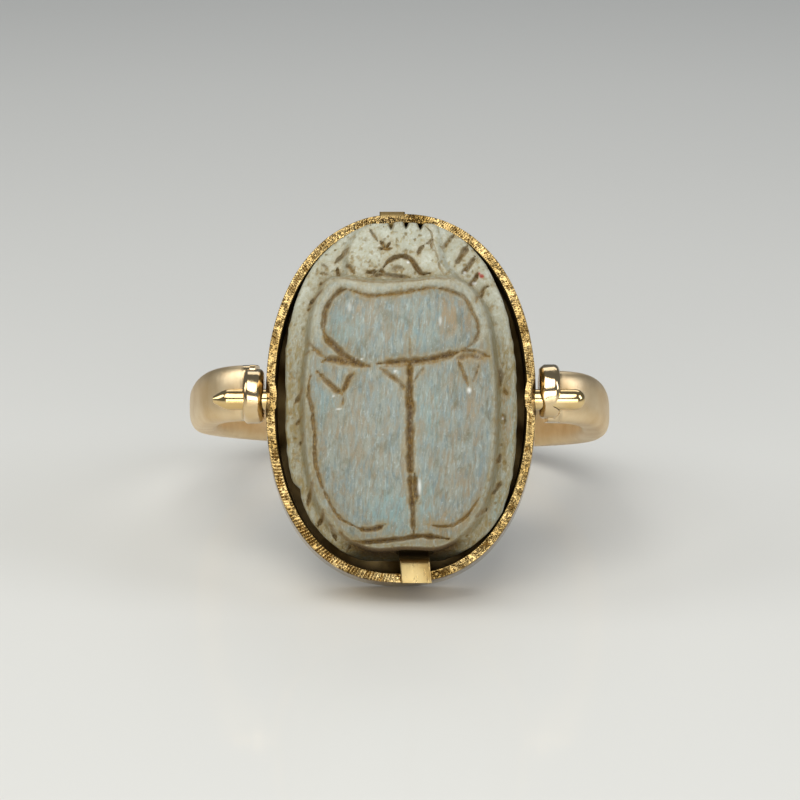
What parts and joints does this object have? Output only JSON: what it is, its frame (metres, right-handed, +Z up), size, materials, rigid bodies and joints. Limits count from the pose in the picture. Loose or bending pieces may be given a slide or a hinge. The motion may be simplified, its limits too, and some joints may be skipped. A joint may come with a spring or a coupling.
{
  "type": "scarab swivel ring",
  "caption": "Finger ring with a carved stone scarab in an open oval gold frame that swivels on two pins between the ends of the band.",
  "frame": {"origin": "centre of the object's footprint on the surface that it lies on", "axes": "+X along the swivel pins, +Y from the bezel towards the back of the band, +Z up, with the ring laid back on the lower end of its frame and the back of its band"},
  "size_m": [0.0204, 0.0244, 0.0167],
  "materials": {
    "carved_stone": "worn, once glazed, with ochre dirt in the cuts",
    "frame_gold": "satin gold with a scratched front rim",
    "band_gold": "satin low-karat gold with fine scratches"
  },
  "bodies": {
    "band": {"shank": "band_gold", "pin_left": "band_gold", "pin_right": "band_gold"},
    "bezel": {"scarab": "carved_stone", "bezel_frame": "frame_gold", "head_claw": "frame_gold", "tail_claw": "frame_gold"}
  },
  "joints": [
    {"name": "bezel_swivel", "type": "hinge", "parent": "band", "child": "bezel", "pos_m": [0, -0.00632, 0.00843], "axis": [1, 0, 0], "continuous": true}
  ]
}
